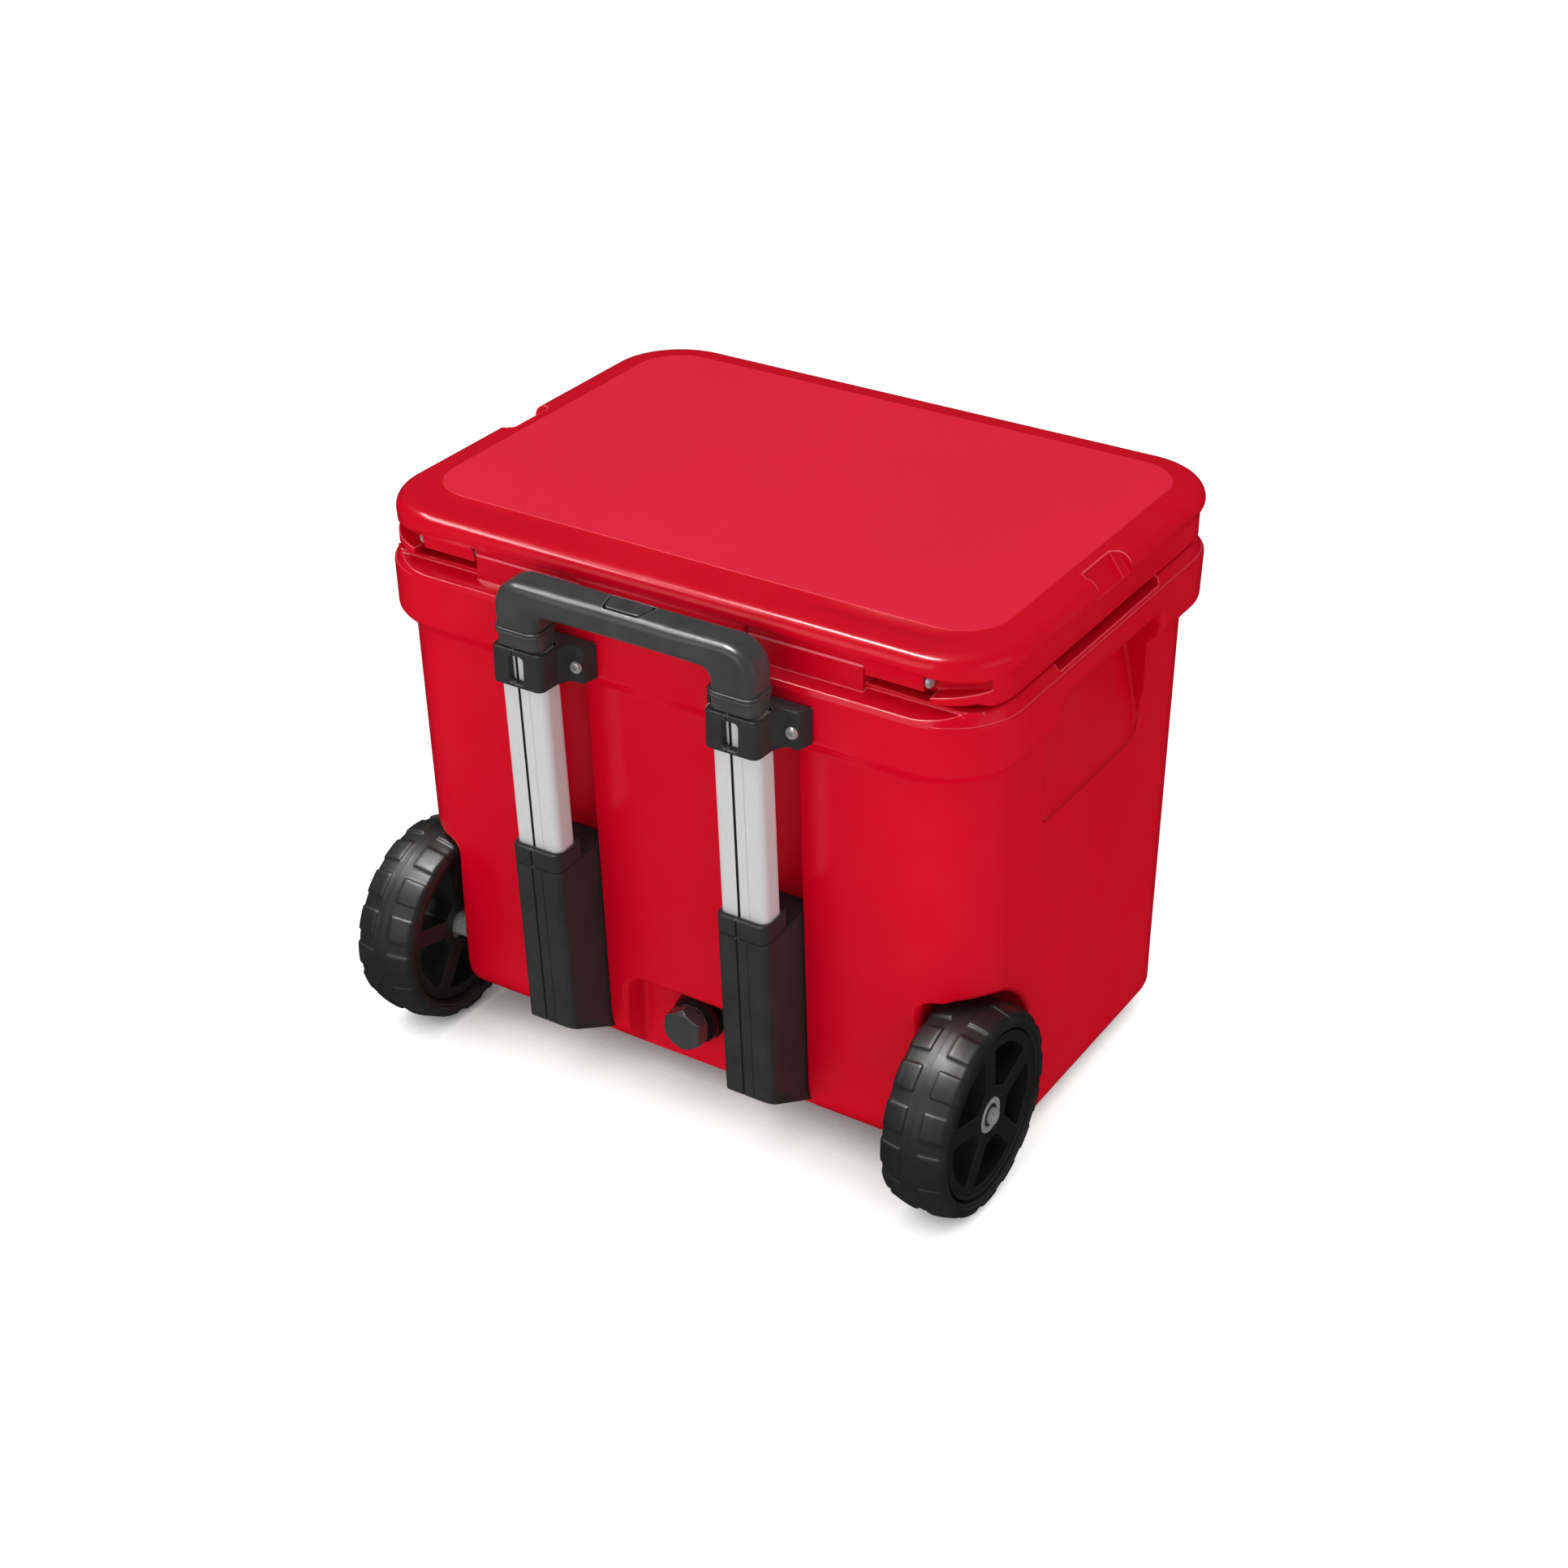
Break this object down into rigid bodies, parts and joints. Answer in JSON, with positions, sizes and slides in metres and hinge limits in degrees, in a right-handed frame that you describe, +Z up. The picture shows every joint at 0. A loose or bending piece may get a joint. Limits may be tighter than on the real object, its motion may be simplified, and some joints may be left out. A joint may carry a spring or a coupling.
{
  "type": "wheeled cooler chest",
  "caption": "Rigid insulated chest with a hinged lid, front latches, a telescoping pull handle, wheels under the rear edge and a screw-in drain plug.",
  "frame": {"origin": "bottom centre of the whole object's bounding box, on the floor", "axes": "+Z up, +Y to the side with the wheels and the pull handle, +X along the chest's length"},
  "size_m": [0.623, 0.5228, 0.5355],
  "materials": {
    "red_polyethylene": "glossy red moulded polyethylene with a matte panel on top of the lid",
    "black_plastic": "satin black moulded plastic",
    "charcoal_grip": "soft-touch charcoal",
    "tyre_rubber": "matte black blocks on a solid tyre",
    "foot_rubber": "matte black rubber",
    "satin_aluminium": "satin anodised, drawn lengthways",
    "zinc_steel": "bright zinc",
    "grey_seal": "soft grey seal"
  },
  "bodies": {
    "chest": {"axle_clip_left": "zinc_steel", "axle_clip_right": "zinc_steel", "axle_left": "zinc_steel", "axle_right": "zinc_steel", "axle_spacer_left": "zinc_steel", "axle_spacer_right": "zinc_steel", "clamp_screw_left_inner": "zinc_steel", "clamp_screw_left_outer": "zinc_steel", "clamp_screw_right_inner": "zinc_steel", "clamp_screw_right_outer": "zinc_steel", "drain_spout": "black_plastic", "front_foot_left": "foot_rubber", "front_foot_right": "foot_rubber", "handle_housing_left": "black_plastic", "handle_housing_right": "black_plastic", "hinge_pin_left": "zinc_steel", "hinge_pin_right": "zinc_steel", "housing_cap_left": "black_plastic", "housing_cap_right": "black_plastic", "latch_pin_left": "zinc_steel", "latch_pin_right": "zinc_steel", "outer_tube_left": "satin_aluminium", "outer_tube_right": "satin_aluminium", "tub_shell": "red_polyethylene", "tube_clamp_left": "black_plastic", "tube_clamp_right": "black_plastic"},
    "lid": {"lid_shell": "red_polyethylene", "lid_gasket": "grey_seal"},
    "drain_seal": {"drain_washer": "grey_seal"},
    "drain_plug": {"drain_cap": "black_plastic"},
    "handle_stage_1": {"middle_tube_left": "satin_aluminium", "middle_tube_right": "satin_aluminium"},
    "handle_stage_2": {"inner_tube_left": "satin_aluminium", "inner_tube_right": "satin_aluminium", "handle_grip": "charcoal_grip"},
    "release_button": {"handle_button": "black_plastic"},
    "latch_left": {"latch_left": "black_plastic"},
    "wheel_left": {"wheel_tyre_left": "tyre_rubber", "wheel_rim_left": "black_plastic", "bearing_outer_left": "zinc_steel", "bearing_inner_left": "zinc_steel"},
    "latch_right": {"latch_right": "black_plastic"},
    "wheel_right": {"wheel_tyre_right": "tyre_rubber", "wheel_rim_right": "black_plastic", "bearing_outer_right": "zinc_steel", "bearing_inner_right": "zinc_steel"}
  },
  "joints": [
    {"name": "lid_hinge", "type": "hinge", "parent": "chest", "child": "lid", "pos_m": [0, 0.1876, 0.5065], "axis": [-1, 0, 0], "range_deg": [0, 92]},
    {"name": "handle_stage_1_slide", "type": "slide", "parent": "chest", "child": "handle_stage_1", "axis": [0, 0.0549, 0.9985], "range_m": [0, 0.22]},
    {"name": "handle_stage_2_slide", "type": "slide", "parent": "handle_stage_1", "child": "handle_stage_2", "axis": [0, 0.0549, 0.9985], "range_m": [0, 0.22]},
    {"name": "release_button_press", "type": "slide", "parent": "handle_stage_2", "child": "release_button", "axis": [0, -0.0549, -0.9985], "range_m": [0, 0.003], "stiffness_N_per_m": 300},
    {"name": "wheel_left_spin", "type": "hinge", "parent": "chest", "child": "wheel_left", "pos_m": [0.309, 0.1651, 0.0963], "axis": [1, 0, 0], "continuous": true},
    {"name": "wheel_right_spin", "type": "hinge", "parent": "chest", "child": "wheel_right", "pos_m": [-0.309, 0.1651, 0.0963], "axis": [1, 0, 0], "continuous": true},
    {"name": "latch_left_pivot", "type": "hinge", "parent": "chest", "child": "latch_left", "pos_m": [0.15, -0.2419, 0.438], "axis": [1, 0, 0], "range_deg": [0, 90]},
    {"name": "latch_right_pivot", "type": "hinge", "parent": "chest", "child": "latch_right", "pos_m": [-0.15, -0.2419, 0.438], "axis": [1, 0, 0], "range_deg": [0, 90]},
    {"name": "drain_seal_travel", "type": "slide", "parent": "chest", "child": "drain_seal", "axis": [0, 1, 0], "range_m": [0, 0.0061]},
    {"name": "drain_plug_turn", "type": "hinge", "parent": "drain_seal", "child": "drain_plug", "pos_m": [-0.007, 0.1561, 0.085], "axis": [0, 1, 0], "range_deg": [0, 720]}
  ],
  "couplings": [
    {"joint": "drain_seal_travel", "follows": "drain_plug_turn", "m_per_rad": 0.00047746}
  ]
}
